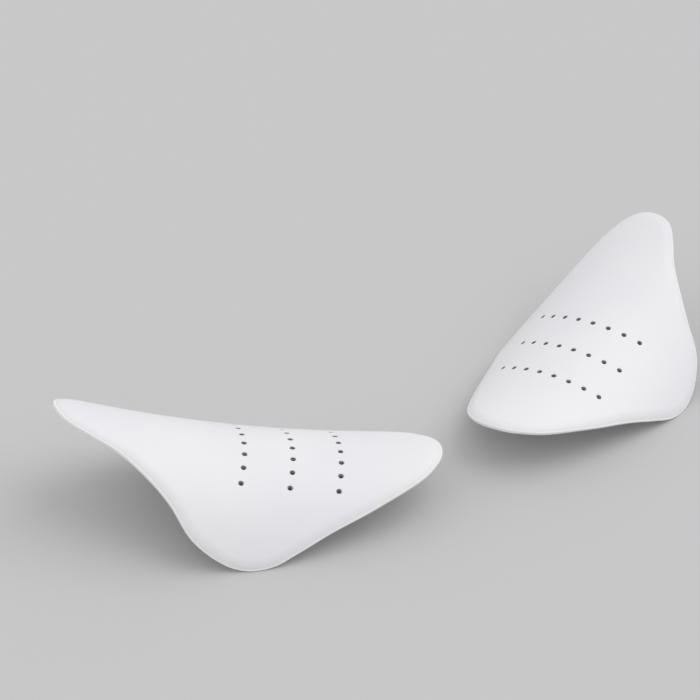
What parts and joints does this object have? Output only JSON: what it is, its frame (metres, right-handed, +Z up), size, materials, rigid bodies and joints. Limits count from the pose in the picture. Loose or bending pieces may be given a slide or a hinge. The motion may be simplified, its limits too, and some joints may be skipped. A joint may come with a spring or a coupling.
{
  "type": "shoe crease protector",
  "caption": "Shoe crease protectors, left and right: thin white vaulted toe-box inserts, each a vented moulded shell over a soft foam lining.",
  "frame": {"origin": "on the floor, under the middle of the box round both protectors", "axes": "+Z up; +X from the right protector, which lies with its toe towards +X, to the left protector, which stands with its toe towards -Y and -X; +Y away from the toes"},
  "size_m": [0.224, 0.1736, 0.039],
  "materials": {
    "shell": "satin white moulded polyethylene",
    "lining": "matte white EVA foam"
  },
  "bodies": {
    "left_protector": {"left_shell": "shell", "left_lining": "lining"},
    "right_protector": {"right_shell": "shell", "right_lining": "lining"}
  },
  "joints": [
    {"name": "right_protector_lift", "type": "slide", "parent": "left_protector", "child": "right_protector", "axis": [0, 0, 1], "range_m": [0, 0.06]}
  ]
}
